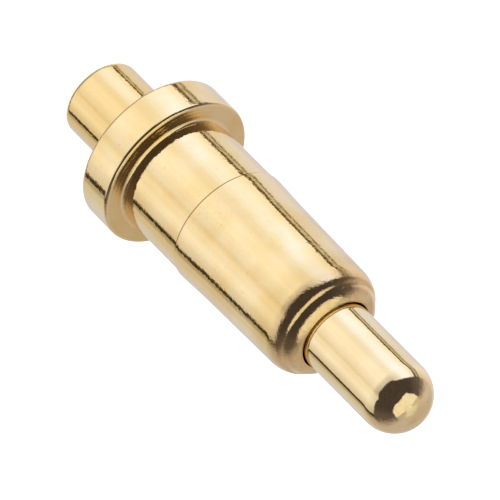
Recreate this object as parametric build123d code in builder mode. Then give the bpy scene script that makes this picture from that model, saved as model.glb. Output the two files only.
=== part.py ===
from build123d import *
import os
from math import acos, cos, pi, radians, sin, sqrt, tan

# A spring contact pin for a circuit board. It has three pieces: a turned barrel with a solder
# tail and a flange, a round-nosed plunger that the barrel's rolled nose holds in, and the coil
# spring that pushes it out. Sizes are in millimetres. The axis is Z, with the plunger's tip
# upwards, and Z = 0 is the flange's face on the board side.

# ---- barrel, outside ----
tail_diameter = 1.00
tail_length = 1.04
tail_end_round = 0.09
flange_diameter = 2.00
flange_thickness = 0.495
flange_rear_round = 0.06
flange_front_chamfer = 0.03
body_diameter = 1.525
body_length = 1.02  # from the flange to the press ring
ring_diameter = 1.56
ring_slope = 45.0  # degrees from the axis, on the ring's shoulder
ring_land = 0.05
ring_taper = 0.42  # from the land down to the body's diameter
nose_diameter = 1.48  # where the roll of the nose begins
nose_roll_radius = 0.43
barrel_length = 3.11  # from the flange to the mouth
mouth_round = 0.033
corner_chamfer = 0.02  # left by the tool's nose in a turned inside corner

# ---- barrel, inside ----
bore_diameter = 1.20
bore_floor = 0.50  # end of the full bore, above the flange's board side
drill_point = 118.0  # degrees, included, on both drills

# ---- plunger ----
plunger_diameter = 0.90
plunger_reach = 1.555  # tip beyond the mouth, at rest
guide_length = 1.40
guide_front_chamfer = 0.06
guide_rear_chamfer = 0.06
back_drill_diameter = 0.70
back_drill_depth = 2.20  # full bore, from the guide's rear end
back_drill_chamfer = 0.03

# ---- spring ----
wire_diameter = 0.10
spring_diameter = 0.64  # outside
active_coils = 10
end_coils = 1  # closed coils at each end
closed_coil_gap = 0.008
points_per_coil = 8
wire_sides = 6  # the thin wire is drawn with flats, which lie within its round

# ---- fits ----
mouth_clearance = 0.012  # radial, mouth to plunger
guide_clearance = 0.02  # radial, bore to guide
seat_clearance = 0.025  # along the axis, guide to the rolled nose at rest
spring_clearance = 0.004  # end coil to the drill point that it sits in

# ---- barrel, worked out ----
tail_radius = tail_diameter / 2
flange_radius = flange_diameter / 2
body_radius = body_diameter / 2
ring_radius = ring_diameter / 2
nose_radius = nose_diameter / 2
bore_radius = bore_diameter / 2
plunger_radius = plunger_diameter / 2
mouth_radius = plunger_radius + mouth_clearance

shoulder_z = flange_thickness + body_length
ring_z = shoulder_z + (ring_radius - body_radius) / tan(radians(ring_slope))
land_end_z = ring_z + ring_land
ring_end_z = land_end_z + ring_taper
mouth_z = flange_thickness + barrel_length
drill_slope = tan(radians(drill_point / 2))
bore_point_z = bore_floor - bore_radius / drill_slope

# The nose is rolled in about one centre, and its wall keeps its thickness. The roll runs
# smoothly into the round of the mouth.
nose_wall = nose_radius - bore_radius
inner_roll_radius = nose_roll_radius - nose_wall
roll_centre = nose_radius - nose_roll_radius
round_centre = mouth_radius + mouth_round
round_z = mouth_z - mouth_round
centre_distance = nose_roll_radius - mouth_round
outer_roll_angle = acos((round_centre - roll_centre) / centre_distance)
inner_roll_angle = acos((mouth_radius - roll_centre) / inner_roll_radius)
nose_z = round_z - centre_distance * sin(outer_roll_angle)
lip_z = nose_z + inner_roll_radius * sin(inner_roll_angle)

# ---- plunger, worked out ----
# The nose stops the guide where the rim of its front chamfer would meet the rolled hollow.
guide_radius = bore_radius - guide_clearance
stop_rise = sqrt(inner_roll_radius**2 - (inner_roll_radius - guide_clearance) ** 2)
guide_front_z = nose_z + stop_rise + guide_front_chamfer - seat_clearance
guide_rear_z = guide_front_z - guide_length
tip_z = mouth_z + plunger_reach
dome_z = tip_z - plunger_radius
back_drill_radius = back_drill_diameter / 2
back_drill_end_z = guide_rear_z + back_drill_depth
back_point_z = back_drill_end_z + back_drill_radius / drill_slope

# ---- spring, worked out ----
# Each end coil sits in a drill point, one in the barrel and one in the plunger.
wire_radius = wire_diameter / 2
coil_radius = spring_diameter / 2 - wire_radius
half_point = radians(drill_point / 2)
coil_seat = (coil_radius * cos(half_point) + wire_radius + spring_clearance) / sin(half_point)
spring_start_z = bore_point_z + coil_seat
spring_end_z = back_point_z - coil_seat
closed_pitch = wire_diameter + closed_coil_gap
closed_rise = closed_pitch * end_coils
all_coils = active_coils + 2 * end_coils
active_pitch = (spring_end_z - spring_start_z - 2 * closed_rise) / active_coils


def on_roll(radius, angle):
    """A point of the rolled nose, at an angle up from where the roll begins."""
    return (roll_centre + radius * cos(angle), nose_z + radius * sin(angle))


def on_mouth(angle):
    """A point of the mouth's round, at an angle up from level."""
    return (round_centre + mouth_round * cos(angle), round_z + mouth_round * sin(angle))


def rim(piece, radius, height):
    """The circular edges of a turned piece at one radius and height."""
    near = 1e-4
    circles = piece.edges().filter_by(GeomType.CIRCLE)
    return circles.filter_by(
        lambda edge: abs(edge.radius - radius) < near and abs(edge.arc_center.Z - height) < near
    )


def wire_height(coil):
    """Height of the spring wire's centre after so many coils from the lower end."""
    if coil < end_coils:
        return spring_start_z + closed_pitch * coil
    if coil > end_coils + active_coils:
        return spring_end_z - closed_pitch * (all_coils - coil)
    return spring_start_z + closed_rise + active_pitch * (coil - end_coils)


def wire_point(step):
    """A point on the spring wire's centre line."""
    coil = step / points_per_coil
    turn = 2 * pi * coil
    return (coil_radius * cos(turn), coil_radius * sin(turn), wire_height(coil))


# ---- barrel: turned, drilled from the front, then rolled in over the plunger ----
with BuildPart() as barrel:
    with BuildSketch(Plane.XZ) as barrel_section:
        with BuildLine() as barrel_outline:
            turned = Polyline(
                (0, bore_point_z),
                (0, -tail_length),
                (tail_radius, -tail_length),
                (tail_radius, 0),
                (flange_radius, 0),
                (flange_radius, flange_thickness),
                (body_radius, flange_thickness),
                (body_radius, shoulder_z),
                (ring_radius, ring_z),
                (ring_radius, land_end_z),
                (body_radius, ring_end_z),
                (nose_radius, nose_z),
            )
            rolled = ThreePointArc(
                turned @ 1,
                on_roll(nose_roll_radius, outer_roll_angle / 2),
                on_roll(nose_roll_radius, outer_roll_angle),
            )
            rounded = ThreePointArc(
                rolled @ 1,
                on_mouth((outer_roll_angle + pi) / 2),
                on_mouth(pi),
            )
            land = Line(rounded @ 1, (mouth_radius, lip_z))
            hollow = ThreePointArc(
                land @ 1,
                on_roll(inner_roll_radius, inner_roll_angle / 2),
                on_roll(inner_roll_radius, 0),
            )
            Polyline(
                hollow @ 1,
                (bore_radius, bore_floor),
                (0, bore_point_z),
            )
        make_face()
    revolve(axis=Axis.Z)
    fillet(rim(barrel, tail_radius, -tail_length), tail_end_round)
    fillet(rim(barrel, flange_radius, 0), flange_rear_round)
    chamfer(rim(barrel, flange_radius, flange_thickness), flange_front_chamfer)
    chamfer(rim(barrel, tail_radius, 0), corner_chamfer)
    chamfer(rim(barrel, body_radius, flange_thickness), corner_chamfer)

# ---- plunger: turned, and drilled from behind to take the spring ----
with BuildPart() as plunger:
    with BuildSketch(Plane.XZ) as plunger_section:
        with BuildLine() as plunger_outline:
            inside = Polyline(
                (0, back_point_z),
                (back_drill_radius, back_drill_end_z),
                (back_drill_radius, guide_rear_z),
                (guide_radius, guide_rear_z),
                (guide_radius, guide_front_z),
                (plunger_radius, guide_front_z),
                (plunger_radius, dome_z),
            )
            dome = CenterArc((0, dome_z), plunger_radius, 0, 90)
            Line(dome @ 1, inside @ 0)
        make_face()
    revolve(axis=Axis.Z)
    chamfer(rim(plunger, guide_radius, guide_front_z), guide_front_chamfer)
    chamfer(rim(plunger, plunger_radius, guide_front_z), corner_chamfer)
    chamfer(rim(plunger, guide_radius, guide_rear_z), guide_rear_chamfer)
    chamfer(rim(plunger, back_drill_radius, guide_rear_z), back_drill_chamfer)

# ---- spring: hard stainless wire, wound with closed ends ----
with BuildPart() as spring:
    with BuildLine() as wire_line:
        Spline([wire_point(step) for step in range(all_coils * points_per_coil + 1)])
    with BuildSketch(Plane(origin=wire_line.line @ 0, z_dir=wire_line.line % 0)) as wire_section:
        RegularPolygon(wire_radius, wire_sides)
    sweep(is_frenet=True)

# ---- files ----
barrel.part.label = "barrel"
plunger.part.label = "plunger"
spring.part.label = "spring"

os.makedirs("parts", exist_ok=True)
export_step(barrel.part, "parts/barrel.step")
export_step(plunger.part, "parts/plunger.step")
export_step(spring.part, "parts/spring.step")
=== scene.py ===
from math import acos, cos, degrees, exp, pi, radians, sin, sqrt, tan

import bpy
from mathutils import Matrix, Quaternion, Vector


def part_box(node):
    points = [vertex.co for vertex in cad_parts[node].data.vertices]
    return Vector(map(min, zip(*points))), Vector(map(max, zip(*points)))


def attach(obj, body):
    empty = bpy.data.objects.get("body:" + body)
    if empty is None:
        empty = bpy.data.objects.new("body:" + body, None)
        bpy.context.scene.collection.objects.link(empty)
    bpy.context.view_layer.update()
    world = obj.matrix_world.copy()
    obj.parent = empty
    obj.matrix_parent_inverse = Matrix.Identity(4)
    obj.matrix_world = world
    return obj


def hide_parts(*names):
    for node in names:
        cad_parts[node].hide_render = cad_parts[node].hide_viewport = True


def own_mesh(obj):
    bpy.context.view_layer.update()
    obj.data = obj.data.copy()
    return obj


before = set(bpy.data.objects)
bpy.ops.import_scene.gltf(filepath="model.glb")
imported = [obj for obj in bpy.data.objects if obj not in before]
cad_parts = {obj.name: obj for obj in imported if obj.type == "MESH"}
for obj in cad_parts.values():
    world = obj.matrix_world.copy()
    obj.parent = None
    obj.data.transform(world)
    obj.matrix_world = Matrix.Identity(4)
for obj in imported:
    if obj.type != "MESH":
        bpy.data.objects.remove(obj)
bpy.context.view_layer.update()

# ---- Barrel ----
# Brass bar, turned with its solder tail, flange and press ring, drilled from the front and plated
# with gold. Its nose is rolled in over the plunger's guide, and holds it for good.
MM = 0.001
quarter = pi / 2

barrel_low, barrel_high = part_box("barrel")
tail_end_z = barrel_low.z
mouth_z = barrel_high.z
flange_radius = barrel_high.x

tail_radius = 0.50 * MM
tail_end_round = 0.09 * MM
flange_thickness = 0.495 * MM
flange_rear_round = 0.06 * MM
flange_front_round = 0.048 * MM
body_radius = 0.7625 * MM
shoulder_z = 1.515 * MM
ring_radius = 0.78 * MM
ring_land = 0.05 * MM
ring_taper = 0.42 * MM
nose_radius = 0.74 * MM
nose_roll_radius = 0.43 * MM
mouth_radius = 0.462 * MM
mouth_round = 0.033 * MM
root_round = 0.075 * MM
root_steep = radians(74.0)  # where the flange's face and the body meet the root's round
root_slight = radians(36.0)
root_rise = 0.012 * MM  # of the flange's face, from its rim to its root
corner_round = 0.02 * MM
bore_radius = 0.60 * MM
bore_floor_z = 0.50 * MM
drill_slope = tan(radians(118.0 / 2))

# The turning tool leaves a fine undercut behind the press ring, and the roller that closes the
# nose leaves one shallow groove round it.
undercut_depth = 0.0022 * MM
undercut_slope = tan(radians(38.0))
groove_angle = radians(37.0)
groove_depth = 0.0145 * MM
groove_reach = 0.044 * MM  # on the side of the body
groove_run_out = 0.053 * MM  # on the side of the mouth

ring_z = shoulder_z + ring_radius - body_radius
land_end_z = ring_z + ring_land
ring_end_z = land_end_z + ring_taper
inner_roll_radius = nose_roll_radius - (nose_radius - bore_radius)
roll_centre_r = nose_radius - nose_roll_radius
mouth_centre = (mouth_radius + mouth_round, mouth_z - mouth_round)
centre_distance = nose_roll_radius - mouth_round
outer_roll_angle = acos((mouth_centre[0] - roll_centre_r) / centre_distance)
inner_roll_angle = acos((mouth_radius - roll_centre_r) / inner_roll_radius)
roll_z = mouth_centre[1] - centre_distance * sin(outer_roll_angle)
bore_point_z = bore_floor_z - bore_radius / drill_slope


class Field:
    """A value, vector, colour or mesh in a node tree, with the tree's nodes as its maths."""

    def __init__(self, tree, socket=None):
        self.tree = tree
        self.socket = socket

    def node(self, kind, settings=None, sockets=(), out=0):
        """Any node: its type, its settings, then its sockets by name or in order."""
        made = self.tree.nodes.new(kind)
        for name, value in (settings or {}).items():
            setattr(made, name, value)
        given = sockets.items() if isinstance(sockets, dict) else enumerate(sockets)
        for key, value in given:
            if isinstance(value, Field):
                self.tree.links.new(value.socket, made.inputs[key])
            elif value is not None:
                made.inputs[key].default_value = value
        return Field(self.tree, made.outputs[out])

    def math(self, operation, *values):
        return self.node("ShaderNodeMath", {"operation": operation}, values)

    def __add__(self, other):
        return self.math("ADD", self, other)

    def __radd__(self, other):
        return self.math("ADD", other, self)

    def __sub__(self, other):
        return self.math("SUBTRACT", self, other)

    def __rsub__(self, other):
        return self.math("SUBTRACT", other, self)

    def __mul__(self, other):
        return self.math("MULTIPLY", self, other)

    def __rmul__(self, other):
        return self.math("MULTIPLY", other, self)

    def __truediv__(self, other):
        return self.math("DIVIDE", self, other)

    def __rtruediv__(self, other):
        return self.math("DIVIDE", other, self)

    def __abs__(self):
        return self.math("ABSOLUTE", self)

    def axes(self):
        """The three parts of a vector."""
        split = self.node("ShaderNodeSeparateXYZ", {}, [self]).socket.node
        return [Field(self.tree, part) for part in split.outputs]

    def rise(self, start, end):
        """0 up to start, 1 from end on, and smooth between them."""
        settings = {"interpolation_type": "SMOOTHSTEP"}
        return self.node("ShaderNodeMapRange", settings, [self, start, end])

    def blend(self, first, second):
        """The first colour where this is 0 and the second where it is 1."""
        sockets = {0: self, 6: first, 7: second}
        return self.node("ShaderNodeMix", {"data_type": "RGBA"}, sockets, out=2)

    def noise(self, size, detail):
        """Soft noise over this place, with lumps of about one size."""
        sockets = {"Vector": self, "Scale": 1 / size, "Detail": detail}
        return self.node("ShaderNodeTexNoise", {}, sockets)


def form_tree(name, kinds):
    """A geometry tree with named inputs, given as {name: kind of socket}, and those inputs."""
    tree = bpy.data.node_groups.new(name, "GeometryNodeTree")
    for label, kind in kinds.items():
        tree.interface.new_socket(label, in_out="INPUT", socket_type="NodeSocket" + kind)
    given = tree.nodes.new("NodeGroupInput")
    return tree, [Field(tree, given.outputs[label]) for label in kinds]


def close_tree(tree, form, finish):
    """End a geometry tree: real faces, in one material."""
    tree.interface.new_socket("Piece", in_out="OUTPUT", socket_type="NodeSocketGeometry")
    real = form.node("GeometryNodeRealizeInstances", {}, [form])
    coated = form.node("GeometryNodeSetMaterial", {}, {"Geometry": real, "Material": finish})
    tree.links.new(coated.socket, tree.nodes.new("NodeGroupOutput").inputs[0])


def grow(piece_name, start, tree, values):
    """Run a geometry tree on a mesh, and keep what it makes as a plain mesh object."""
    blank = bpy.data.objects.new(piece_name + "_blank", start)
    bpy.context.scene.collection.objects.link(blank)
    modifier = blank.modifiers.new(tree.name, "NODES")
    modifier.node_group = tree
    for item in tree.interface.items_tree:
        if item.in_out == "INPUT" and item.name in values:
            modifier[item.identifier] = values[item.name]
    evaluated = blank.evaluated_get(bpy.context.evaluated_depsgraph_get())
    mesh = bpy.data.meshes.new_from_object(evaluated)
    bpy.data.objects.remove(blank)
    mesh.name = piece_name
    piece = bpy.data.objects.new(piece_name, mesh)
    bpy.context.scene.collection.objects.link(piece)
    return piece


def around(radius, angle, height):
    """The place at a radius, an angle about Z and a height."""
    sockets = [radius * angle.math("COSINE", angle), radius * angle.math("SINE", angle), height]
    return radius.node("ShaderNodeCombineXYZ", {}, sockets)


def lathe_tree():
    """Turns an outline, whose points stand at (radius, 0, height), about Z."""
    kinds = {"Outline": "Geometry", "Steps round": "Int", "Crease": "Float", "Finish": "Material"}
    tree, (outline, steps, crease, finish) = form_tree("lathe", kinds)
    rows = outline.node("GeometryNodeAttributeDomainSize", {}, [outline])
    grid = outline.node("GeometryNodeMeshGrid", {}, [1.0, 1.0, steps + 1, rows])
    place = outline.node("GeometryNodeInputPosition")
    across, along = place.axes()[:2]
    row = (along + 0.5) * (rows - 1)
    sockets = [outline, place, row.math("ROUND", row)]
    point = outline.node("GeometryNodeSampleIndex", {"data_type": "FLOAT_VECTOR"}, sockets).axes()
    angle = (across + 0.5) * (2 * pi)
    turned = around(point[0], angle, point[2])
    shell = outline.node("GeometryNodeSetPosition", {}, {"Geometry": grid, "Position": turned})
    weld = 1e-8  # closes the seam and the poles
    closed = outline.node("GeometryNodeMergeByDistance", {}, {"Geometry": shell, "Distance": weld})
    bend = outline.node("GeometryNodeInputMeshEdgeAngle")
    gentle = outline.node("FunctionNodeCompare", {"operation": "LESS_THAN"}, [bend, crease])
    smooth = outline.node("GeometryNodeSetShadeSmooth", {"domain": "EDGE"}, [closed, None, gentle])
    close_tree(tree, smooth, finish)
    return tree


lathe = lathe_tree()
steps_round = 288
crease = radians(22.0)  # a sharper bend than this keeps a sharp edge
straight_margin = 0.012 * MM
corner_steps = 6
edge_steps = 14


def arc(centre, radius, start, end, steps):
    """Points of an outline round a centre, from one angle above the level to another."""
    angles = [start + (end - start) * step / steps for step in range(steps + 1)]
    return [(centre[0] + radius * cos(a), centre[1] + radius * sin(a)) for a in angles]


def turn(piece_name, outline, finish):
    """A turned piece. Rows beside the ends of its long straight runs keep their shading even."""
    rows = []
    for (r0, z0), (r1, z1) in zip(outline, outline[1:]):
        rows.append((r0, 0.0, z0))
        run = sqrt((r1 - r0) ** 2 + (z1 - z0) ** 2)
        if run > 4 * straight_margin:
            share = straight_margin / run
            rows.append((r0 + (r1 - r0) * share, 0.0, z0 + (z1 - z0) * share))
            rows.append((r1 - (r1 - r0) * share, 0.0, z1 - (z1 - z0) * share))
    rows.append((outline[-1][0], 0.0, outline[-1][1]))
    start = bpy.data.meshes.new(piece_name + "_outline")
    start.from_pydata(rows, [(place, place + 1) for place in range(len(rows) - 1)], [])
    values = {"Steps round": steps_round, "Crease": crease, "Finish": finish}
    return grow(piece_name, start, lathe, values)


def gold_plating(finish_name, deep_gold, pale_gold, peel_tilt, face_tilt):
    """Bright gold on turned metal, between a deep and a pale colour. It shows the plating's orange
    peel, and on faces square to the axis the tool marks under it. The tilts are how far, about,
    each leans the surface."""
    finish = bpy.data.materials.new(finish_name)
    finish.use_nodes = True
    tree = finish.node_tree
    tree.nodes.clear()
    place = Field(tree).node("ShaderNodeTexCoord", out="Object")
    facing = Field(tree).node("ShaderNodeTexCoord", out="Normal").axes()[2]
    x, y, height = place.axes()
    radius = place.math("SQRT", x * x + y * y)
    peel_size = 0.045 * MM
    mark_size = 0.035 * MM
    stretch_size = 0.020 * MM
    stretch_tilt = 0.09
    cloud_size = 0.5 * MM
    speck_size = 0.05 * MM
    patch_size = 0.11 * MM
    tail_gold = (0.915, 0.650, 0.280, 1.0)
    speck_gold = (0.62, 0.40, 0.14, 1.0)
    rubbed_gold = (0.83, 0.60, 0.27, 1.0)
    dulled_gold = (0.83, 0.60, 0.32, 1.0)
    # painted shade for the corner behind the press ring
    corner_shade_gold = (0.60, 0.37, 0.13, 1.0)
    lip_gold = (0.90, 0.76, 0.50, 1.0)
    polish = 0.04

    peel = place.noise(peel_size, 2.0)
    marks = place.node(
        "ShaderNodeTexNoise",
        {"noise_dimensions": "1D"},
        {"W": radius + height, "Scale": 1 / mark_size, "Detail": 3.0},
    )
    cloud = place.noise(cloud_size, 4.0)
    shade = cloud.rise(0.36, 0.64)
    gold_colour = shade.blend(deep_gold, pale_gold)

    # The tail has a deeper gold, and a few specks lie anywhere.
    tail = 1 - height.rise(-0.10 * MM, 0.0)
    gold_colour = (tail * (0.2 + 0.8 * cloud)).blend(gold_colour, tail_gold)
    specks = place.noise(speck_size, 1.0).rise(0.71, 0.77)
    gold_colour = (specks * 0.25).blend(gold_colour, speck_gold)

    # The roller rubs the body before the nose, and stretches and dulls what it bends.
    rolled = height.rise(roll_z, roll_z + 0.12 * MM)
    rolled = rolled * (1 - height.rise(mouth_z, mouth_z + 0.02 * MM))
    rolled = rolled * radius.rise(mouth_radius - 0.004 * MM, mouth_radius)
    rubbed = height.rise(roll_z - 0.34 * MM, roll_z - 0.04 * MM)
    rubbed = rubbed * (1 - height.rise(roll_z + 0.20 * MM, mouth_z))
    rubbed = rubbed * radius.rise(0.60 * MM, 0.62 * MM) * (0.25 + 1.1 * cloud)
    gold_colour = (rubbed * 0.8).blend(gold_colour, rubbed_gold)
    dulled = rolled * (0.25 + 0.75 * place.noise(patch_size, 4.0).rise(0.36, 0.60))
    gold_colour = dulled.blend(gold_colour, dulled_gold)

    # The corner behind the press ring is darkened with painted shade, and the mouth's lip is paler
    # and duller.
    corner_shade = height.rise(shoulder_z - 0.018 * MM, shoulder_z - 0.008 * MM)
    corner_shade = corner_shade * (1 - height.rise(ring_z - 0.014 * MM, ring_z - 0.004 * MM))
    gold_colour = (corner_shade * (0.35 + 0.5 * cloud)).blend(gold_colour, corner_shade_gold)
    lip = rolled * (1 - radius.rise(mouth_radius + 0.02 * MM, mouth_radius + 0.04 * MM))
    gold_colour = (lip * 0.8).blend(gold_colour, lip_gold)

    faced = abs(facing).rise(0.90, 0.99)
    relief = peel * (peel_tilt * peel_size) + marks * (faced * (face_tilt * mark_size))
    relief = relief + place.noise(stretch_size, 2.0) * (rolled * (stretch_tilt * stretch_size))
    sockets = {
        "Base Color": gold_colour,
        "Metallic": 1.0,
        "Roughness": shade * 0.02 + faced * 0.07 + lip * 0.10 + polish,
        "Normal": place.node("ShaderNodeBump", {}, {"Distance": 1.0, "Height": relief}),
    }
    gold = place.node("ShaderNodeBsdfPrincipled", {}, sockets)
    tree.links.new(gold.socket, tree.nodes.new("ShaderNodeOutputMaterial").inputs[0])
    return finish


nose_steps = 72
root_steps = 10
hollow_steps = 16


def rolled_nose():
    """The outside of the rolled nose, with the roller's groove."""
    points = []
    for step in range(nose_steps):
        angle = outer_roll_angle * step / nose_steps
        offset = (angle - groove_angle) * nose_roll_radius
        offset = offset / (groove_reach if offset < 0 else groove_run_out)
        radius = nose_roll_radius - groove_depth * exp(-offset * offset)
        points.append((roll_centre_r + radius * cos(angle), roll_z + radius * sin(angle)))
    return points


tail_round_centre = (tail_radius - tail_end_round, tail_end_z + tail_end_round)
rear_round_centre = (flange_radius - flange_rear_round, flange_rear_round)
front_round_centre = (flange_radius - flange_front_round, flange_thickness - flange_front_round)
root_centre = (
    body_radius + root_round * cos(root_slight),
    flange_thickness + root_rise + root_round * sin(root_steep),
)
barrel_outline = [
    (0.0, tail_end_z),
    *arc(tail_round_centre, tail_end_round, -quarter, 0, edge_steps),
    *arc((tail_radius + corner_round, -corner_round), corner_round, pi, quarter, corner_steps),
    *arc(rear_round_centre, flange_rear_round, -quarter, 0, edge_steps),
    *arc(front_round_centre, flange_front_round, 0, quarter, edge_steps),
    *arc(root_centre, root_round, pi + root_steep, pi + root_slight, root_steps),
    (body_radius, shoulder_z - undercut_depth * (1 + undercut_slope)),
    (body_radius - undercut_depth, shoulder_z - undercut_depth),
    (ring_radius, ring_z),
    (ring_radius, land_end_z),
    (body_radius, ring_end_z),
    *rolled_nose(),
    *arc(mouth_centre, mouth_round, outer_roll_angle, pi, edge_steps),
    *arc((roll_centre_r, roll_z), inner_roll_radius, inner_roll_angle, 0, hollow_steps),
    (bore_radius, bore_floor_z),
    (0.0, bore_point_z),
]

barrel_gold = gold_plating(
    "barrel_gold",
    deep_gold=(0.927, 0.692, 0.335, 1.0),
    pale_gold=(0.957, 0.760, 0.440, 1.0),
    peel_tilt=0.026,
    face_tilt=0.07,
)
barrel = turn("barrel_plated", barrel_outline, barrel_gold)
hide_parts("barrel")
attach(barrel, "barrel")

# ---- Plunger ----
# Turned with a round nose and a wider guide that runs in the barrel's bore, drilled from behind
# for the spring. Its gold is a little paler than the barrel's, and smoother.
plunger_low, plunger_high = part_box("plunger")
tip_z = plunger_high.z
guide_rear_z = plunger_low.z
guide_radius = plunger_high.x
guide_length = 1.40 * MM
guide_chamfer = 0.06 * MM
plunger_radius = 0.45 * MM
back_drill_radius = 0.35 * MM
back_drill_depth = 2.20 * MM
back_drill_chamfer = 0.03 * MM

nose_centre = (0.0, tip_z - plunger_radius)
round_nose_steps = 64
guide_front_z = guide_rear_z + guide_length
shank_corner = (plunger_radius + corner_round, guide_front_z + corner_round)
drill_end_z = guide_rear_z + back_drill_depth
back_point_z = drill_end_z + back_drill_radius / drill_slope
plunger_outline = [
    (0.0, back_point_z),
    (back_drill_radius, drill_end_z),
    (back_drill_radius, guide_rear_z + back_drill_chamfer),
    (back_drill_radius + back_drill_chamfer, guide_rear_z),
    (guide_radius - guide_chamfer, guide_rear_z),
    (guide_radius, guide_rear_z + guide_chamfer),
    (guide_radius, guide_front_z - guide_chamfer),
    (guide_radius - guide_chamfer, guide_front_z),
    *arc(shank_corner, corner_round, -quarter, -pi, corner_steps),
    *arc(nose_centre, plunger_radius, 0, quarter, round_nose_steps),
]

plunger_gold = gold_plating(
    "plunger_gold",
    deep_gold=(0.930, 0.730, 0.415, 1.0),
    pale_gold=(0.955, 0.792, 0.500, 1.0),
    peel_tilt=0.012,
    face_tilt=0.0,
)
plunger = turn("plunger_plated", plunger_outline, plunger_gold)
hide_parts("plunger")
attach(plunger, "plunger")

# ---- Spring ----
# Hard stainless wire, wound with a closed coil at each end. It sits in the drill points of the
# barrel and the plunger, and is held a little compressed at rest.
spring_low, spring_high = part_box("spring")
wire_radius = 0.05 * MM
closed_pitch = 0.108 * MM
end_coils = 1
active_coils = 10
points_per_coil = 48
wire_sides = 14
coil_radius = 0.27 * MM

foot_z = spring_low.z + wire_radius
head_z = spring_high.z - wire_radius
active_pitch = (head_z - foot_z - 2 * end_coils * closed_pitch) / active_coils


def helix_tree():
    """Winds a round wire about Z, with closed coils at both ends."""
    kinds = {
        "Coil radius": "Float",
        "Wire radius": "Float",
        "Foot": "Float",
        "Closed pitch": "Float",
        "Active pitch": "Float",
        "Active coils": "Int",
        "End coils": "Int",
        "Points per coil": "Int",
        "Wire sides": "Int",
        "Finish": "Material",
    }
    tree, given = form_tree("helix", kinds)
    coil_r, wire_r, foot, closed, active, coils, ends, points, wire_steps, finish = given
    line = foot.node("GeometryNodeMeshLine", {}, [(coils + ends * 2) * points + 1])
    coil = foot.node("GeometryNodeInputIndex") / points
    begun = coil.math("MAXIMUM", coil - ends, 0.0)
    opened = begun.math("MINIMUM", begun, coils)
    height = foot + (coil - opened) * closed + opened * active
    angle = coil * (2 * pi)
    turned = around(coil_r, angle, height)
    placed = foot.node("GeometryNodeSetPosition", {}, {"Geometry": line, "Position": turned})
    path = foot.node("GeometryNodeMeshToCurve", {}, [placed])
    sockets = {"Resolution": wire_steps, "Radius": wire_r}
    section = foot.node("GeometryNodeCurvePrimitiveCircle", {}, sockets)
    sockets = {"Curve": path, "Profile Curve": section, "Fill Caps": True}
    close_tree(tree, foot.node("GeometryNodeCurveToMesh", {}, sockets), finish)
    return tree


def drawn_steel():
    """Drawn stainless wire: a little dull, with die marks and a faint straw tint in places."""
    finish = bpy.data.materials.new("spring_steel")
    finish.use_nodes = True
    tree = finish.node_tree
    tree.nodes.clear()
    place = Field(tree).node("ShaderNodeTexCoord", out="Object")
    cloud_size = 0.3 * MM
    mark_size = 0.012 * MM
    mark_depth = 0.0005 * MM
    bare_steel = (0.60, 0.59, 0.57, 1.0)
    straw_steel = (0.66, 0.63, 0.57, 1.0)
    grain = place.noise(mark_size, 3.0)
    relief = {"Distance": 1.0, "Height": grain * mark_depth}
    sockets = {
        "Base Color": place.noise(cloud_size, 2.0).rise(0.35, 0.65).blend(bare_steel, straw_steel),
        "Metallic": 1.0,
        "Roughness": grain * 0.12 + 0.22,
        "Normal": place.node("ShaderNodeBump", {}, relief),
    }
    steel = place.node("ShaderNodeBsdfPrincipled", {}, sockets)
    tree.links.new(steel.socket, tree.nodes.new("ShaderNodeOutputMaterial").inputs[0])
    return finish


spring_values = {
    "Coil radius": coil_radius,
    "Wire radius": wire_radius,
    "Foot": foot_z,
    "Closed pitch": closed_pitch,
    "Active pitch": active_pitch,
    "Active coils": active_coils,
    "End coils": end_coils,
    "Points per coil": points_per_coil,
    "Wire sides": wire_sides,
    "Finish": drawn_steel(),
}
spring = grow("spring_wire", bpy.data.meshes.new("spring_start"), helix_tree(), spring_values)
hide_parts("spring")
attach(spring, "barrel")
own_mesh(spring)

# ---- Studio ----
# A light tent of white cloth on a white floor. It is open towards the camera, where the dark room
# shows, and a dark seam runs down the cloth from each side of the opening.
view_rise = radians(33.0)
view_roll = radians(135.3)
view_width = 5.727 * MM
aim = Vector((0.0143, 0.0, 1.950)) * MM
back = Vector((0.0, -cos(view_rise), sin(view_rise)))

lens = bpy.data.cameras.new("camera")
lens.sensor_width = 36.0
lens.lens = 900.0
distance = view_width * lens.lens / lens.sensor_width
lens.clip_start = distance / 100
lens.clip_end = distance * 100
camera = bpy.data.objects.new("camera", lens)
camera.location = aim + back * distance
camera.rotation_mode = "QUATERNION"
camera.rotation_quaternion = (-back).to_track_quat("-Z", "Y") @ Quaternion((0, 0, 1), view_roll)
bpy.context.scene.collection.objects.link(camera)
bpy.context.scene.camera = camera

# Places on the tent are in degrees: the bearing is 0 in front, where the camera stands, and
# positive to the east, and the lift is the height above level. Brightness is 1 for plain white.
tent = bpy.data.worlds.new("tent")
bpy.context.scene.world = tent
tent.use_nodes = True
sky = tent.node_tree
sky.nodes.clear()
toward = Field(sky).node("ShaderNodeTexCoord", out="Generated")
east, north, up = toward.axes()
bearing = toward.math("ARCTAN2", east, 0 - north) * degrees(1.0)
lift = toward.math("ARCSINE", up) * degrees(1.0)
aside = abs(bearing)
fold_scale = 0.11
patch_scale = 9.0
folds = toward.node(
    "ShaderNodeTexNoise", {"noise_dimensions": "1D"}, {"W": bearing, "Scale": fold_scale}
)
patchy = toward.noise(1 / patch_scale, 3.0)


def window(value, low, high, soft):
    """1 between two values and 0 outside them, with soft edges."""
    return value.rise(low - soft, low + soft) * (1 - value.rise(high - soft, high + soft))


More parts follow.
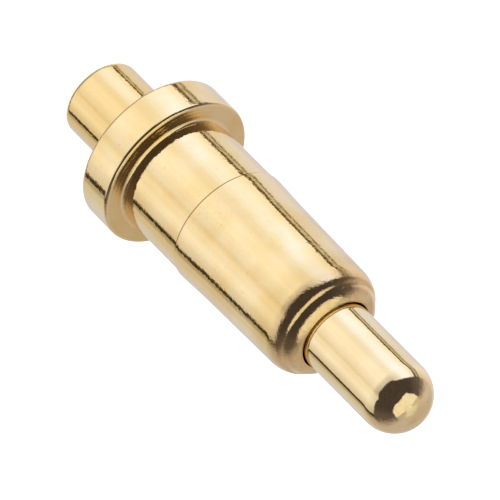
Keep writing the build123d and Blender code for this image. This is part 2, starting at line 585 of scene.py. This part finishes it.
# The cloth in front is brightest to the west, has one large fold to the east, falls off towards
# its east side, and is shaded under the opening.
west_cloth = window(bearing, -80.0, -42.0, 14.0)
middle = window(bearing, -26.0, 36.0, 9.0)
bulge = window(bearing, -22.0, 10.0, 12.0)
large_fold = window(bearing, 28.0, 38.0, 6.0)
past_fold = window(bearing, 50.0, 66.0, 8.0)
cloth = 0.97 + 0.26 * west_cloth + 0.13 * bulge - 0.12 * large_fold + 0.06 * past_fold
cloth = cloth - 0.26 * bearing.rise(62.0, 94.0)
cloth = cloth * (1 - 0.20 * (1 - west_cloth) * lift.rise(-32.0, 0.0))
cloth = cloth - 0.22 * middle * lift.rise(-31.0, -16.0)
cloth = cloth * (0.93 + 0.14 * folds)

# The cloth behind gets less light. It is brighter near the floor, low in the west, on the west
# side and overhead, and a little darker straight behind.
west = 1 - east.rise(-0.12, 0.12)
straight_behind = window(lift, 22.0, 44.0, 7.0) * aside.rise(148.0, 166.0)
behind = 0.52 + 0.20 * (1 - lift.rise(-33.0, -6.0)) + 0.17 * west * window(lift, -24.0, -2.0, 8.0)
behind = behind - (0.06 - 0.045 * west) * straight_behind
behind = behind + (0.76 - behind) * lift.rise(54.0, 70.0) * aside.rise(112.0, 150.0)
behind = behind + (0.84 - behind) * lift.rise(74.0, 84.0)
behind = behind * (1.0 + 0.17 * window(bearing, -140.0, -98.0, 16.0))

# The opening's lower and upper edges, and the cloth above it.
edge_blur = 1.5
sill = 4.0 - 10.0 * middle + 3.0 * window(bearing, -84.0, -44.0, 8.0)
sill = sill - 6.0 * bearing.rise(34.0, 54.0)
lintel = 51.5 + 5.0 * window(bearing, -14.0, 26.0, 10.0) - 4.0 * window(bearing, -48.0, -32.0, 6.0)
lintel = lintel - 2.0 * window(bearing, 56.0, 78.0, 8.0)
above = lift.rise(lintel - edge_blur, lintel + edge_blur)
roof = 0.76 + 0.34 * patchy
in_front = cloth + (roof - cloth) * above

front = 1 - aside.rise(94.0, 104.0)
level = behind + (in_front - behind) * front * (1 - lift.rise(76.0, 89.0))
level = level * (1 - 0.06 * window(bearing, 106.0, 124.0, 6.0))
level = level * (1 - 0.07 * bearing.rise(138.0, 158.0) * (1 - lift.rise(-28.0, -14.0)))

# The two seams, the shade right under the pin, and the room that shows in the opening.
sides = aside + 26.0 * (patchy - 0.5)
opening = lift.rise(sill - edge_blur, sill + edge_blur) * (1 - above)
opening = opening * (1 - sides.rise(93.0, 132.0))
seams = 0.92 * window(bearing, 92.2, 100.2, 1.0) + 0.40 * window(bearing, 100.2, 108.0, 3.5)
seams = seams + 0.90 * window(bearing, -92.6, -86.8, 0.7)
seams = seams + 0.34 * window(bearing, -98.0, -92.6, 0.7)
seams = seams + 0.76 * window(bearing, -101.8, -98.0, 0.9)
seams = seams * (1 - lift.rise(4.0, 12.0))
level = level * (1 - seams)
level = level * (0.45 + 0.55 * lift.rise(-78.0, -50.0))
room = 0.032 + 0.050 * patchy + 0.05 * aside.rise(55.0, 95.0)
level = level + (room - level) * opening

# The light is cool from the west in front and from low behind. It is warm from the large fold,
# the east side, higher up behind, overhead, the seams and the room.
tint = window(bearing, -74.0, -42.0, 13.0).blend((1.0, 1.0, 1.02, 1.0), (0.88, 1.0, 1.34, 1.0))
tint = window(bearing, 28.0, 44.0, 6.0).blend(tint, (1.05, 1.0, 0.90, 1.0))
tint = bearing.rise(68.0, 90.0).blend(tint, (1.03, 1.0, 0.94, 1.0))
tint = (1 - bearing.rise(-125.0, -98.0)).blend(tint, (0.99, 1.0, 1.14, 1.0))
tint = bearing.rise(118.0, 136.0).blend(tint, (0.98, 1.0, 1.10, 1.0))
tint = (lift.rise(-30.0, -8.0) * aside.rise(96.0, 116.0)).blend(tint, (1.09, 1.0, 1.00, 1.0))
tint = straight_behind.blend(tint, (1.14, 1.0, 0.84, 1.0))
tint = (west * straight_behind).blend(tint, (1.12, 1.0, 0.96, 1.0))
tint = lift.rise(44.0, 64.0).blend(tint, (1.03, 1.0, 0.86, 1.0))
tint = seams.blend(tint, (1.22, 1.0, 0.60, 1.0))
tint = opening.blend(tint, (1.18, 1.0, 1.00, 1.0))

lit = toward.node("ShaderNodeBackground", {}, [tint, level])
plain = toward.node("ShaderNodeBackground", {}, [(1.0, 1.0, 1.0, 1.0), 1.0])
seen = toward.node("ShaderNodeLightPath", out="Is Camera Ray")
mixed = toward.node("ShaderNodeMixShader", {}, [seen, lit, plain])
sky.links.new(mixed.socket, sky.nodes.new("ShaderNodeOutputWorld").inputs[0])

# The floor is matt white, and looks white to the camera. It doesn't show in the gold.
floor_reach = 0.5
floor_glow = 0.82
floor_white = bpy.data.materials.new("floor_white")
floor_white.use_nodes = True
paint = floor_white.node_tree
paint.nodes.clear()
seen = Field(paint).node("ShaderNodeLightPath", out="Is Camera Ray")
matt = seen.node("ShaderNodeBsdfDiffuse", {}, [(0.9, 0.9, 0.9, 1.0)])
glow = seen.node("ShaderNodeEmission", {}, [(1.0, 1.0, 1.0, 1.0), seen * floor_glow])
lifted = seen.node("ShaderNodeAddShader", {}, [matt, glow])
paint.links.new(lifted.socket, paint.nodes.new("ShaderNodeOutputMaterial").inputs[0])

corners = [(-1, -1), (1, -1), (1, 1), (-1, 1)]
floor_mesh = bpy.data.meshes.new("floor")
floor_mesh.from_pydata(
    [(x * floor_reach, y * floor_reach, tail_end_z) for x, y in corners], [], [(0, 1, 2, 3)]
)
floor_mesh.materials.append(floor_white)
floor = bpy.data.objects.new("floor", floor_mesh)
bpy.context.scene.collection.objects.link(floor)
floor.visible_glossy = False

bpy.context.scene.view_settings.view_transform = "Standard"
